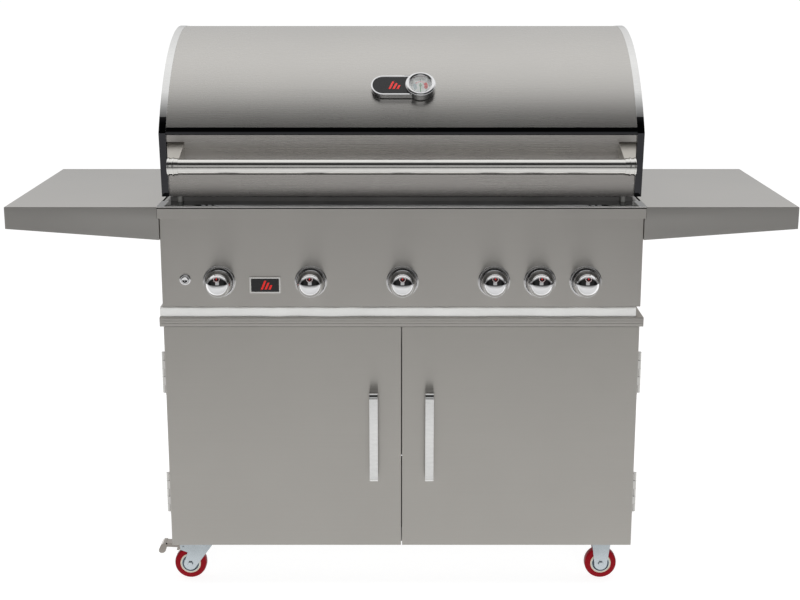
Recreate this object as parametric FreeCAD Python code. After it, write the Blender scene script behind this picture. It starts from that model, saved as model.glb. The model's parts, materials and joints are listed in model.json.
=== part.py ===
"""Freestanding gas barbecue grill: a stainless steel grill head with a roll-top hood on a two-door cart.

Row frame in millimetres: +X to the user's right, +Y away from the user, +Z up. The origin is on the
ground, under the centre of the object's bounding box. The cook stands at -Y and faces +Y.
"""
import FreeCAD, Part

import math
import os

from FreeCAD import Vector

os.makedirs("parts", exist_ok=True)

# ---------------------------------------------------------------- driving dimensions
FRONT = -259.0          # Y of the sill's front face; every depth below is measured back from it
BODY_W = 1067.0         # control panel, hood and pair of doors
SILL_W = 1075.0         # sill above the control panel
RAIL_W = 1082.0         # top frame of the cart
SHELF_SPAN = 1745.0     # over both side shelves
SHELF_DEPTH = 572.0
SHELF_TOP = 900.0
SHELF_EDGE_OUTER = 49.0  # apron height at the free end
SHELF_EDGE_INNER = 74.0  # apron height at the grill head
SHEET = 2.0             # general sheet thickness
REAR = 565.0            # depth of the head's and the cart's back

SILL_TOP = 901.5
LIP_BOTTOM = 874.0
PANEL_BOTTOM = 674.0
RAIL_GROOVE = (0.7, 1.0)      # depth and height of the two lines pressed along the rail's face
RAIL_GROOVE_Z = (636.0, 642.0)
PANEL_FACE = 5.0        # depth of the control panel's and the doors' front faces
RAIL_TOP = 650.0
RAIL_BOTTOM = 629.0
DOOR_TOP = 627.0
CART_BOTTOM = 103.0
FIREBOX_FRONT = 62.0
UPSTAND = (72.0, 74.5)  # depths of the strip that closes the slot under the closed hood

HOOD_BOTTOM = 914.0
HOOD_FRONT_LOW = 54.0   # depth of the hood's front at its bottom edge
HOOD_CREASE = 1057.0    # height of the fold between the flat front and the rolled top
HOOD_FOLD = HOOD_CREASE - 4.0  # height where the flat front starts, stepped back under the crease
HOOD_RECESS = 5.5       # how far the flat front is stepped back
HOOD_ARC_R = 433.0
HOOD_ARC_C = (412.0, 838.0)   # depth and height of the rolled top's centre
HOOD_REAR = 562.0
HOOD_SHOULDER_R = 55.0
HOOD_REAR_EDGE = 1010.0
HOOD_PIVOT = (545.0, 930.0)   # depth and height of the hood's hinge line
END_CAP_W = 16.0

KNOB_Z = 731.4
BURNER_PITCH = 203.5
BURNER_X = [2.0 + BURNER_PITCH * k for k in (-2, -1, 0, 1, 2)]
REAR_VALVE_X = (BURNER_X[3] + BURNER_X[4]) / 2
KNOB_X = BURNER_X[:4] + [REAR_VALVE_X] + BURNER_X[4:]
KNOB_R = 30.0
KNOB_BACK = 1.0         # depth of the knob's rear face, 4 mm in front of the panel
KNOB_LENGTH = 23.0      # straight part of the knob, in front of which it is a half ball
STEM_R = 4.0
STEM_TIP = -22.0
BUTTON_X = -481.0
BUTTON_Z = 736.0
BUTTON_R = 8.5
BUMPER_X = 495.0
BUMPER_DEPTH = 65.0

CASTER_X = 471.0
CASTER_DEPTHS = (62.0, 505.0)
WHEEL_R = 37.5
WHEEL_W = 24.0
CASTER_TRAIL = 28.0
RUNNING = 0.06          # radial clearance of pins and axles that turn
HALF = BODY_W / 2


# ---------------------------------------------------------------- helpers
def depth(d):
    """Row-frame Y of a point d behind the sill's front face."""
    return FRONT + d


def box(x0, x1, d0, d1, z0, z1):
    """Block between two X values, two depths and two heights."""
    corner = Vector(min(x0, x1), depth(min(d0, d1)), min(z0, z1))
    return Part.makeBox(abs(x1 - x0), abs(d1 - d0), abs(z1 - z0), corner)


def rod_x(x0, x1, d, z, r):
    return Part.makeCylinder(r, abs(x1 - x0), Vector(min(x0, x1), depth(d), z), Vector(1, 0, 0))


def rod_y(x, d0, d1, z, r):
    return Part.makeCylinder(r, abs(d1 - d0), Vector(x, depth(min(d0, d1)), z), Vector(0, 1, 0))


def rod_z(x, d, z0, z1, r):
    return Part.makeCylinder(r, abs(z1 - z0), Vector(x, depth(d), min(z0, z1)), Vector(0, 0, 1))


def mirrored(shape):
    """The same piece on the other side of the X = 0 plane."""
    return shape.mirror(Vector(0, 0, 0), Vector(1, 0, 0))


def fused(shapes):
    """One solid out of several, with the seams between their flush faces removed."""
    return shapes[0].fuse(shapes[1:]).removeSplitter()


def side_face(outline):
    """Face in the YZ plane at X = 0 through (depth, height) points."""
    points = [Vector(0, depth(d), z) for d, z in outline]
    return Part.Face(Part.makePolygon(points + points[:1]))


def side_prism(outline, x0, x1):
    """Straight-sided outline of (depth, height) points, extruded from x0 to x1."""
    face = side_face(outline)
    face.translate(Vector(min(x0, x1), 0, 0))
    return face.extrude(Vector(abs(x1 - x0), 0, 0))


def front_prism(outline, d0, d1):
    """Straight-sided outline of (x, height) points, extruded from depth d0 to d1."""
    points = [Vector(x, depth(d0), z) for x, z in outline]
    return Part.Face(Part.makePolygon(points + points[:1])).extrude(Vector(0, d1 - d0, 0))


def turned_y(outline, x, d, z):
    """Solid turned about an axis along Y through (x, d, z), from (radius, depth offset) points."""
    points = [Vector(x + r, depth(d + t), z) for r, t in outline]
    face = Part.Face(Part.makePolygon(points + points[:1]))
    return face.revolve(Vector(x, depth(d), z), Vector(0, 1, 0), 360)


def tray(x0, x1, d0, d1, z0, z1, t, open_face):
    """Box of sheet t with one open face: 'top', 'bottom' or 'back'."""
    grow = {"top": (0, 0, 1), "bottom": (0, 1, 0), "back": (1, 0, 0)}[open_face]
    inner = box(x0 + t, x1 - t, d0 + t, d1 - t + 2 * t * grow[0],
                z0 + t - 2 * t * grow[1], z1 - t + 2 * t * grow[2])
    return box(x0, x1, d0, d1, z0, z1).cut(inner)


def save(name, solids):
    """Writes one node: a single solid, or a group of separate ones."""
    shape = solids[0] if len(solids) == 1 else Part.makeCompound(solids)
    if not shape.isValid():
        print("not valid:", name)
    shape.exportStep(os.path.join("parts", name + ".step"))


# ---------------------------------------------------------------- cart
def cart_side_panels():
    """Two flat side sheets, each with a narrow return along its back edge."""
    sheet = box(HALF - 2.5, HALF - 0.5, 27, REAR - 3, CART_BOTTOM, RAIL_BOTTOM)
    back_return = box(HALF - 22, HALF - 0.5, REAR - 5, REAR - 3, CART_BOTTOM, RAIL_BOTTOM)
    panel = fused([sheet, back_return])
    save("cart_side_panels", [panel, mirrored(panel)])


def cart_rear_panel():
    """Back sheet with two rows of cooling slots near its top and a hose cut-out at its foot."""
    sheet = box(-HALF + 23, HALF - 23, REAR - 5, REAR - 3, CART_BOTTOM + 22, RAIL_BOTTOM)
    slots = [box(x - 30, x + 30, REAR - 8, REAR, z, z + 8)
             for x in (-400, -300, -200, 200, 300, 400) for z in (540, 565)]
    hose_exit = box(380, 460, REAR - 8, REAR, CART_BOTTOM + 20, CART_BOTTOM + 70)
    save("cart_rear_panel", [sheet.cut(Part.makeCompound(slots + [hose_exit]))])


def cart_floor():
    """Floor tray that the casters bolt under."""
    pan = tray(-HALF + 3, HALF - 3, FRAME_BACK + 1, REAR - 6, CART_BOTTOM, CART_BOTTOM + 20, SHEET, "top")
    holes = [rod_z(x, d, CART_BOTTOM - 5, CART_BOTTOM + 5, 4.0) for x, d in caster_bolt_places()]
    save("cart_floor", [pan.cut(Part.makeCompound(holes))])


def cart_face_frame():
    """Welded frame behind the doors: two stiles, a head rail and a foot rail, with two door catches."""
    outer = box(-HALF + 3, HALF - 3, 27, FRAME_BACK, CART_BOTTOM, RAIL_BOTTOM)
    opening = box(-HALF + 34, HALF - 34, 20, 50, CART_BOTTOM + 24, RAIL_BOTTOM - 26)
    catches = [box(-30, 30, 27, FRAME_BACK - 2, z, z + 12) for z in (CART_BOTTOM + 24, RAIL_BOTTOM - 38)]
    save("cart_face_frame", [fused([outer.cut(opening)] + catches)])


def cart_top_frame():
    """Ring of folded rail that the grill head stands on. Its front member shows under the panel."""
    ring = box(-RAIL_W / 2, RAIL_W / 2, 0, REAR, RAIL_BOTTOM, RAIL_TOP)
    ring = ring.cut(box(-HALF + 40, HALF - 40, 60, REAR - 40, RAIL_BOTTOM - 5, RAIL_TOP + 5))
    front_hollow = box(-HALF + 4, HALF - 4, 4, 24, RAIL_BOTTOM - 1, RAIL_TOP - 3)
    hose_notch = box(GAS_X - 13, GAS_X + 13, GAS_DEPTH - 13, 70, RAIL_BOTTOM - 5, RAIL_TOP + 5)
    grooves = [box(-RAIL_W, RAIL_W, -1, RAIL_GROOVE[0], z, z + RAIL_GROOVE[1]) for z in RAIL_GROOVE_Z]
    ring = ring.cut(Part.makeCompound([front_hollow, hose_notch] + grooves))
    front_edges = [e for e in ring.Edges if is_front_corner(e)]
    save("cart_top_frame", [ring.makeFillet(2.5, front_edges)])


def is_front_corner(edge):
    """True for the long upper front edge of the cart's top frame."""
    low = edge.BoundBox
    return low.XLength > RAIL_W - 1 and abs(low.YMin - depth(0)) < 0.1 and low.ZMin > RAIL_TOP - 0.1


def ledge_gasket():
    """White fibre strip that lies on the cart's front ledge under the control panel."""
    strip = box(-RAIL_W / 2 + 1, 524, 4, 58, RAIL_TOP, RAIL_TOP + 22)
    notch = box(GAS_X - 14, GAS_X + 14, GAS_DEPTH - 14, 70, RAIL_TOP - 1, RAIL_TOP + 25)
    save("ledge_gasket", [strip.cut(notch)])


def side_shelves():
    """Two shelves, each a pan open below. The apron deepens towards the head that it is bolted to."""
    inner = SILL_W / 2 + 0.5
    beside = HALF + 0.5
    outer = SHELF_SPAN / 2
    step = LIP_BOTTOM - 0.5
    apron = [(inner, SHELF_TOP), (outer, SHELF_TOP), (outer, SHELF_TOP - SHELF_EDGE_OUTER),
             (beside, SHELF_TOP - SHELF_EDGE_INNER), (beside, step), (inner, step)]
    body = front_prism(apron, 0, SHELF_DEPTH)
    hollow = [(inner + SHEET, SHELF_TOP - SHEET), (outer - SHEET, SHELF_TOP - SHEET),
              (outer - SHEET, 0), (inner + SHEET, 0)]
    body = body.cut(front_prism(hollow, SHEET, SHELF_DEPTH - SHEET))
    bearer = box(HALF, inner + SHEET, 100, 540, SHELF_TOP - 66, SHELF_TOP - 40)
    shelf = fused([body, bearer])
    top_edges = [e for e in shelf.Edges if is_shelf_rim(e, outer)]
    shelf = shelf.makeFillet(1.5, top_edges)
    save("side_shelves", [shelf, mirrored(shelf)])


def is_shelf_rim(edge, outer):
    """True for the three free edges around a shelf's top."""
    b = edge.BoundBox
    on_top = b.ZMin > SHELF_TOP - 0.1
    long_edge = b.XLength > 300 or b.YLength > SHELF_DEPTH - 5
    at_inner = b.XMax < outer - 300
    return on_top and long_edge and not at_inner


# ---------------------------------------------------------------- doors
HINGE_X = HALF + 5.5
HINGE_DEPTH = 24.0
HINGE_R = 4.5
HINGE_PIN_R = 2.2
HINGE_SPANS = [(468.0, 564.0), (180.0, 275.0)]
HANDLE_X = 63.0
HANDLE_Z = (268.0, 483.0)
HANDLE_OUT = 38.0
HANDLE_SCREW_Z = (HANDLE_Z[0] + 3.5, HANDLE_Z[1] - 3.5)
HANDLE_W = 19.0
HANDLE_T = 7.0
HANDLE_BEND = 15.0      # outer radius of the bow's bends


def knuckle_spans(z0, z1):
    """Heights of a hinge's five knuckles, from the bottom, 0.3 mm apart."""
    step = (z1 - z0) / 5
    return [(z0 + step * k + 0.15, z0 + step * (k + 1) - 0.15) for k in range(5)]


def hinge_leaf(z0, z1, odd):
    """Leaf with its knuckles on the hinge line, on the right-hand side."""
    spans = [s for k, s in enumerate(knuckle_spans(z0, z1)) if k % 2 == odd]
    knuckles = [rod_z(HINGE_X, HINGE_DEPTH, a, b, HINGE_R) for a, b in spans]
    if odd:
        plates = [box(HALF - 0.5, HINGE_X, HINGE_DEPTH - 6, HINGE_DEPTH - 1, a, b) for a, b in spans]
        flap = box(HALF - 0.5, HALF + 0.6, 8, HINGE_DEPTH - 2, z0, z1)
    else:
        plates = [box(HALF - 0.5, HINGE_X, HINGE_DEPTH + 1.5, HINGE_DEPTH + 4, a, b) for a, b in spans]
        flap = box(HALF - 0.5, HALF + 1, HINGE_DEPTH + 6, HINGE_DEPTH + 34, z0, z1)
        plates = [box(HALF - 0.5, HALF + 2.5, HINGE_DEPTH + 2, HINGE_DEPTH + 8, a, b)
                  for a, b in spans] + plates
    leaf = fused(knuckles + plates + [flap])
    bore = HINGE_PIN_R + (RUNNING if odd else 0)
    return leaf.cut(rod_z(HINGE_X, HINGE_DEPTH, z0 - 5, z1 + 5, bore))


def hinge_pin(z0, z1):
    return rod_z(HINGE_X, HINGE_DEPTH, z0, z1, HINGE_PIN_R)


def doors():
    """Two sheet doors with folded edges, their hinge leaves, and the leaves and pins on the cart."""
    inner = 1.2
    frame = []
    for side, flip in (("left", True), ("right", False)):
        pan = tray(inner, HALF - 0.5, PANEL_FACE, PANEL_FACE + 20, CART_BOTTOM, DOOR_TOP, SHEET, "back")
        lining = box(inner + 14, HALF - 14, PANEL_FACE + 18, PANEL_FACE + 20, CART_BOTTOM + 14,
                     DOOR_TOP - 14)
        rim = tray(inner + 12, HALF - 12, PANEL_FACE + SHEET, PANEL_FACE + 20, CART_BOTTOM + 12,
                   DOOR_TOP - 12, SHEET, "back")
        holes = [rod_y(HANDLE_X, PANEL_FACE - 1, PANEL_FACE + 30, z, 2.6)
                 for z in HANDLE_SCREW_Z]
        door = fused([pan, rim, lining]).cut(Part.makeCompound(holes))
        leaves = [hinge_leaf(a, b, 1) for a, b in HINGE_SPANS]
        frame += [hinge_leaf(a, b, 0) for a, b in HINGE_SPANS] if not flip else []
        grip = door_handle()
        pieces = [door, leaves, grip]
        if flip:
            pieces = [mirrored(door), [mirrored(leaf) for leaf in leaves], mirrored(grip)]
        save(side + "_door", [pieces[0]])
        save(side + "_door_hinge_leaves", pieces[1])
        save(side + "_door_handle", [pieces[2]])
    frame += [mirrored(leaf) for leaf in frame]
    pins = [hinge_pin(a, b) for a, b in HINGE_SPANS]
    save("door_hinge_frame_leaves", frame + pins + [mirrored(pin) for pin in pins])


def door_handle():
    """Flat bow handle: an upright bar that turns back to the door at both ends, with two screws."""
    low, high = HANDLE_Z
    half = HANDLE_W / 2
    bar = box(HANDLE_X - half, HANDLE_X + half, PANEL_FACE - HANDLE_OUT, PANEL_FACE, low, high)
    gap = box(HANDLE_X - half - 1, HANDLE_X + half + 1, PANEL_FACE - HANDLE_OUT + HANDLE_T, PANEL_FACE + 1,
              low + HANDLE_T, high - HANDLE_T)
    grip = bar.cut(gap)
    front = PANEL_FACE - HANDLE_OUT
    for face, radius in ((front, HANDLE_BEND), (front + HANDLE_T, HANDLE_BEND - HANDLE_T)):
        corners = [e for e in grip.Edges if e.BoundBox.XLength > HANDLE_W - 0.1
                   and abs(e.BoundBox.YMax - depth(face)) < 0.1 and e.BoundBox.ZLength < 0.1]
        grip = grip.makeFillet(radius, corners)
    screws = [rod_y(HANDLE_X, PANEL_FACE - 6, PANEL_FACE + SHEET + 4, z, 2.5) for z in HANDLE_SCREW_Z]
    return fused([grip] + screws)


# ---------------------------------------------------------------- casters
CASTER_PLATE = (88.0, 60.0)
BOLT_SPACING = (68.0, 30.0)
BOLT_HEAD_R = 5.5
FRAME_BACK = 38.0       # depth of the back of the frame behind the doors
FORK_TOP = CART_BOTTOM - 13
AXLE_R = 4.0
PEDAL_PIVOT = (-44.0, 80.0)    # X from the kingpin, and height
PEDAL_PIVOT_R = 2.5


def caster_bolt_places():
    """X and depth of the sixteen caster bolts."""
    return [(s * CASTER_X + u * BOLT_SPACING[0] / 2, d + v * BOLT_SPACING[1] / 2)
            for s in (-1, 1) for d in CASTER_DEPTHS for u in (-1, 1) for v in (-1, 1)]


def caster_plate(x, d):
    """Top plate of a caster with its four bolt holes."""
    u, v = CASTER_PLATE[0] / 2, CASTER_PLATE[1] / 2
    plate = box(x - u, x + u, d - v, d + v, CART_BOTTOM - 3, CART_BOTTOM)
    holes = [rod_z(bx, bd, CART_BOTTOM - 5, CART_BOTTOM + 1, 4.0) for bx, bd in caster_bolt_places()]
    return plate.cut(Part.makeCompound(holes))


def leg_outline(axle_dx, half_top, eye_r, top_z):
    """Fork leg as (x, height) points: wide at its top, and a half-round eye about the axle."""
    start = math.atan2(top_z - WHEEL_R, half_top - axle_dx) - math.pi / 2
    end = math.atan2(top_z - WHEEL_R, -half_top - axle_dx) + math.pi / 2
    steps = 10
    eye = []
    for k in range(steps + 1):
        a = start + (end - 2 * math.pi - start) * k / steps
        eye.append((axle_dx + eye_r * math.cos(a), WHEEL_R + eye_r * math.sin(a)))
    return [(-half_top, top_z), (half_top, top_z)] + eye


def shifted(outline, x):
    return [(x + u, z) for u, z in outline]


def swivel_fork(x, d):
    """Fork that turns on the kingpin, with its trailing legs, axle bolt and pedal pivot."""
    legs = []
    for v in (-17.0, 14.5):
        outline = shifted(leg_outline(-CASTER_TRAIL, 27.0, 15.0, FORK_TOP - 2), x)
        leg = front_prism(outline, d + v, d + v + 2.5)
        corners = [(x - 21, FORK_TOP), (x - 21, 62), (x - 50, 73), (x - 52, 85), (x - 40, FORK_TOP)]
        ear = front_prism(corners, d + v, d + v + 2.5)
        legs += [leg, ear]
    crown = rod_z(x, d, FORK_TOP - 3, FORK_TOP, 24)
    bridge = box(x - 24, x + 22, d - 17, d + 17, FORK_TOP - 3, FORK_TOP)
    fork = fused(legs + [crown, bridge])
    fork = fork.cut(rod_z(x, d, FORK_TOP - 10, FORK_TOP + 5, 6 + RUNNING))
    fork = fork.cut(rod_y(x - CASTER_TRAIL, d - 20, d + 20, WHEEL_R, AXLE_R))
    fork = fork.cut(rod_y(x + PEDAL_PIVOT[0], d - 20, d + 20, PEDAL_PIVOT[1], PEDAL_PIVOT_R))
    pivot = rod_y(x + PEDAL_PIVOT[0], d - 18.5, d + 18.5, PEDAL_PIVOT[1], PEDAL_PIVOT_R)
    return [fork, axle(x - CASTER_TRAIL, d), pivot]


def axle(x, d):
    """Axle bolt with its hexagon head in front of the fork and its nut behind."""
    shank = rod_y(x, d - 18, d + 22, WHEEL_R, AXLE_R)
    return fused([shank, hexagon_y(x, d - 22, d - 17, 6.5), hexagon_y(x, d + 17, d + 22, 6.5)])


def hexagon_y(x, d0, d1, r, z=WHEEL_R):
    points = [(x + r * math.cos(math.pi / 3 * k), z + r * math.sin(math.pi / 3 * k)) for k in range(6)]
    return front_prism(points, d0, d1)


def brake_pedal(x, d):
    """Foot pedal on the swivel fork: an arm with an upright pad, and a shoe over the tread."""
    px, pz = x + PEDAL_PIVOT[0], PEDAL_PIVOT[1]
    barrel = rod_y(px, d - 13.8, d + 13.8, pz, 5.5)
    arm = [(px - 2, pz + 7), (px - 40, pz + 9), (px - 44, pz + 4), (px - 40, pz - 1), (px - 2, pz - 3)]
    pad = [(px - 38, pz + 6), (px - 41, pz + 9), (px - 47, pz + 9), (px - 52, pz + 5), (px - 57, pz - 6),
           (px - 57, pz - 12), (px - 53, pz - 15), (px - 47, pz - 15), (px - 42, pz - 11), (px - 39, pz - 3)]
    shoe = [(px - 2, pz + 2), (px - 14, pz - 2), (px - 16, pz - 10), (px - 12, pz - 11), (px - 3, pz - 5)]
    pedal = fused([barrel, front_prism(arm, d - 12, d + 12), front_prism(pad, d - 16, d + 16),
                   front_prism(shoe, d - 10, d + 10)])
    return pedal.cut(rod_y(px, d - 20, d + 20, pz, PEDAL_PIVOT_R + RUNNING))


def wheel(x, d):
    """Cast tread bonded to a core, with a bearing boss each side."""
    w = WHEEL_W / 2
    tread = turned_y([(22, -w + 1), (WHEEL_R - 4, -w), (WHEEL_R - 1.2, -w + 2.2), (WHEEL_R, -w + 6),
                      (WHEEL_R, w - 6), (WHEEL_R - 1.2, w - 2.2), (WHEEL_R - 4, w), (22, w - 1)],
                     x, d, WHEEL_R)
    core = turned_y([(AXLE_R + RUNNING, -w - 1.5), (9, -w - 1.5), (10, -w + 2), (18, -w + 3),
                     (19.5, -w), (22, -w), (22, w), (19.5, w), (18, w - 3), (10, w - 2), (9, w + 1.5),
                     (AXLE_R + RUNNING, w + 1.5)], x, d, WHEEL_R)
    return [tread, core]


def casters():
    """Two swivel casters with brakes under the left end, two fixed ones under the right."""
    plates, forks = [], []
    for d, place in zip(CASTER_DEPTHS, ("front", "rear")):
        kingpin = rod_z(-CASTER_X, d, FORK_TOP - 6, CART_BOTTOM, 6)
        nut = rod_z(-CASTER_X, d, FORK_TOP - 8, FORK_TOP - 3.3, 10)
        race = rod_z(-CASTER_X, d, FORK_TOP + 0.3, CART_BOTTOM - 3, 25)
        plates.append(fused([caster_plate(-CASTER_X, d), race, kingpin, nut]))
        save(place + "_left_fork", swivel_fork(-CASTER_X, d))
        save(place + "_left_brake", [brake_pedal(-CASTER_X, d)])
        save(place + "_left_wheel", wheel(-CASTER_X - CASTER_TRAIL, d))
        save(place + "_right_wheel", wheel(CASTER_X, d))
        outline = shifted(leg_outline(0, 23.0, 15.0, CART_BOTTOM - 3), CASTER_X)
        legs = [front_prism(outline, d + v, d + v + 2.5) for v in (-17.0, 14.5)]
        fork = fused([caster_plate(CASTER_X, d)] + legs)
        forks += [fork.cut(rod_y(CASTER_X, d - 20, d + 20, WHEEL_R, AXLE_R)), axle(CASTER_X, d)]
    save("swivel_caster_plates", plates)
    save("rigid_caster_forks", forks)


# ---------------------------------------------------------------- grill head
GAS_X = 462.0
GAS_DEPTH = 53.8
GAS_R = 8.0
GAS_PIN_R = 7.9
GAS_END = 565.0         # height of the gas inlet's open end, inside the cart
GRATE_TOP = 862.0
GRATE_ROD_R = 4.0
TENT_REST = 772.0       # height of the ledges under the heat tents
PIVOT_R = 5.0


def firebox():
    """Open-topped box of sheet on the cart, with grate ledges, hinge ears and a slot for the drip tray."""
    shell = box(-HALF, HALF, FIREBOX_FRONT, REAR, RAIL_TOP, SILL_TOP - 4)
    shell = shell.cut(box(-HALF + 2.5, HALF - 2.5, FIREBOX_FRONT + 2.5, REAR - 2.5, 0, 2000))
    top = SILL_TOP - 4
    rails = [box(-HALF, -HALF + 14, FIREBOX_FRONT, REAR, top, top + SHEET),
             box(HALF - 14, HALF, FIREBOX_FRONT, REAR, top, top + SHEET),
             box(-HALF, HALF, REAR - 53, REAR, top, top + SHEET),
             box(-HALF, HALF, FIREBOX_FRONT, UPSTAND[1], top, top + SHEET)]
    upstand = box(-HALF + END_CAP_W, HALF - END_CAP_W, UPSTAND[0], UPSTAND[1], top, HOOD_BOTTOM - 3)
    rest = GRATE_TOP - 3.2 * GRATE_ROD_R
    ledges = [box(-HALF + 2, HALF - 2, d0, d1, z - SHEET, z)
              for d0, d1 in ((FIREBOX_FRONT + 2, FIREBOX_FRONT + 22), (REAR - 22, REAR - 2))
              for z in (rest, TENT_REST)]
    runners = [box(s * (HALF - 2), s * 445, 80, REAR - 4, RAIL_TOP + 1.7, RAIL_TOP + 3.7) for s in (-1, 1)]
    floor = box(-HALF + 2, HALF - 2, FIREBOX_FRONT + 2, REAR - 2, 694, 696)
    floor = floor.cut(box(-420, 420, FIREBOX_FRONT + 60, REAR - 80, 690, 700))
    pd, pz = HOOD_PIVOT
    ear = box(HALF - 25.5, HALF - 21.5, pd - 15, pd + 15, top - 20, pz + 18)
    ear_block = box(HALF - 25.5, HALF - 2, pd - 15, pd + 15, top - 20, top - 16)
    ears = [ear, ear_block, mirrored(ear), mirrored(ear_block)]
    body = fused([shell, upstand] + rails + ledges + runners + [floor] + ears)
    tray_slot = box(-470, 470, REAR - 10, REAR + 5, RAIL_TOP + 2, RAIL_TOP + 40)
    pivots = rod_x(-HALF, HALF, pd, pz, PIVOT_R)
    necks = [rod_y(x, FIREBOX_FRONT - 5, FIREBOX_FRONT + 8, KNOB_Z, 13.0) for x in BURNER_X]
    save("firebox", [body.cut(Part.makeCompound([tray_slot, pivots] + necks))])


def front_sill():
    """Folded sheet across the front: a flat top, a shadow groove, and a lip over the control panel."""
    t = SHEET
    back = UPSTAND[0] - 0.5
    outline = [(-1.0, SILL_TOP), (back, SILL_TOP), (back, SILL_TOP - t),
               (4.5, SILL_TOP - t), (4.5, SILL_TOP - 5), (2.5, SILL_TOP - 5), (2.5, LIP_BOTTOM + t),
               (12, LIP_BOTTOM + t), (12, LIP_BOTTOM), (0.0, LIP_BOTTOM), (0.0, SILL_TOP - 5.5),
               (2.5, SILL_TOP - 5.5 + 2), (2.5, SILL_TOP - t - 1), (-1.0, SILL_TOP - t - 0.5)]
    save("front_sill", [side_prism(outline, -SILL_W / 2, SILL_W / 2)])


def control_panel():
    """Front pan that carries the valves, open at the back, with holes for stems and button."""
    face = box(-HALF, HALF, PANEL_FACE, PANEL_FACE + SHEET, PANEL_BOTTOM, LIP_BOTTOM - 0.5)
    sides = [box(s * HALF, s * (HALF - SHEET), PANEL_FACE, FIREBOX_FRONT, PANEL_BOTTOM, LIP_BOTTOM - 0.5)
             for s in (-1, 1)]
    foot = box(-HALF, HALF, PANEL_FACE, PANEL_FACE + 30, PANEL_BOTTOM, PANEL_BOTTOM + SHEET)
    foot = foot.cut(box(GAS_X - 14, GAS_X + 14, 20, 80, PANEL_BOTTOM - 1, PANEL_BOTTOM + 5))
    head = box(-HALF, HALF, PANEL_FACE, PANEL_FACE + 20, LIP_BOTTOM - 2.5, LIP_BOTTOM - 0.5)
    holes = [rod_y(x, 0, 20, KNOB_Z, 8.0) for x in KNOB_X] + [rod_y(BUTTON_X, 0, 20, BUTTON_Z, 11.0)]
    pan = fused([face, foot, head] + sides).cut(Part.makeCompound(holes))
    upright = [e for e in pan.Edges
               if e.BoundBox.ZLength > 150 and e.BoundBox.YMax < depth(PANEL_FACE + 0.1)]
    save("control_panel", [pan.makeFillet(1.5, upright)])


def panel_bezels():
    """Rings on the control panel around the six knobs, and the barrel that guides the ignition button."""
    section = [(31.2, 0), (36, 0), (36, -6), (35, -8.5), (33.4, -9.5), (31.8, -8.5), (31.2, -6)]
    rings = [turned_y(section, x, PANEL_FACE, KNOB_Z) for x in KNOB_X]
    barrel = turned_y([(BUTTON_R + 0.15, 25), (BUTTON_R + 0.15, -2.6), (BUTTON_R + 1.2, -3.2), (12.5, -2),
                       (12.5, 0), (11, 0), (11, 25)], BUTTON_X, PANEL_FACE, BUTTON_Z)
    save("panel_bezels", rings + [barrel])


def valves():
    """Valve bodies behind the panel, the plug that turns inside each, and the gas manifold."""
    bodies = []
    for n, x in enumerate(KNOB_X, 1):
        block = box(x - 14, x + 14, 14, 46, KNOB_Z - 14, KNOB_Z + 14)
        nose = rod_y(x, 9, 14, KNOB_Z, 9)
        jet = rod_y(x, 46, 54, KNOB_Z, 5)
        cavity = fused([rod_y(x, 22, 40, KNOB_Z, 9), rod_y(x, 5, 23, KNOB_Z, 4.3)])
        bodies.append(fused([block, nose, jet]).cut(cavity))
        plug = turned_y([(4.3, 23), (8.9, 23), (8.2, 39), (0, 39), (0, 31), (4.3, 31)], x, 0, KNOB_Z)
        save("valve_plug_%d" % n, [plug])
    save("valve_bodies", bodies)
    pipe_z = KNOB_Z - 14 - 10
    pipe = rod_x(KNOB_X[0] - 30, GAS_X + 12, 30, pipe_z, 10)
    branch = rod_y(GAS_X, 30, GAS_DEPTH, pipe_z, GAS_R)
    drop = rod_z(GAS_X, GAS_DEPTH, GAS_END + 18, pipe_z, GAS_R)
    knee = Part.makeSphere(GAS_R, Vector(GAS_X, depth(GAS_DEPTH), pipe_z))
    stub = rod_z(GAS_X, GAS_DEPTH, GAS_END, GAS_END + 18, GAS_PIN_R)
    nut = rod_z(GAS_X, GAS_DEPTH, GAS_END + 18, GAS_END + 26, 10)
    bore = rod_z(GAS_X, GAS_DEPTH, GAS_END - 5, GAS_END + 60, 5)
    save("gas_manifold", [fused([pipe, branch, drop, knee, stub, nut]).cut(bore)])


def knobs():
    """Six control knobs, each with the valve stem that it is pressed on."""
    for n, x in enumerate(KNOB_X, 1):
        barrel = rod_y(x, KNOB_BACK - KNOB_LENGTH, KNOB_BACK, KNOB_Z, KNOB_R)
        centre = Vector(x, depth(KNOB_BACK - KNOB_LENGTH), KNOB_Z)
        dome = Part.makeSphere(KNOB_R, centre, Vector(0, -1, 0), 0, 90, 360)
        body = fused([barrel, dome]).cut(rod_y(x, STEM_TIP, 5, KNOB_Z, STEM_R))
        stem = rod_y(x, STEM_TIP, 26, KNOB_Z, STEM_R)
        save("knob_%d" % n, [body, stem])


def ignition_button():
    """Push button with a domed cap, in the barrel on the panel."""
    cap = turned_y([(0, -7.0), (5, -6.6), (7.6, -5.4), (BUTTON_R, -3.8), (BUTTON_R, 16), (0, 16)],
                   BUTTON_X, PANEL_FACE, BUTTON_Z)
    save("ignition_button", [cap])


def hood_bumpers():
    """Rubber buttons on the sill that the closed hood comes down on."""
    buttons = [rod_z(s * BUMPER_X, BUMPER_DEPTH, SILL_TOP, HOOD_BOTTOM - 0.3, 6) for s in (-1, 1)]
    save("hood_bumpers", buttons)


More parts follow.
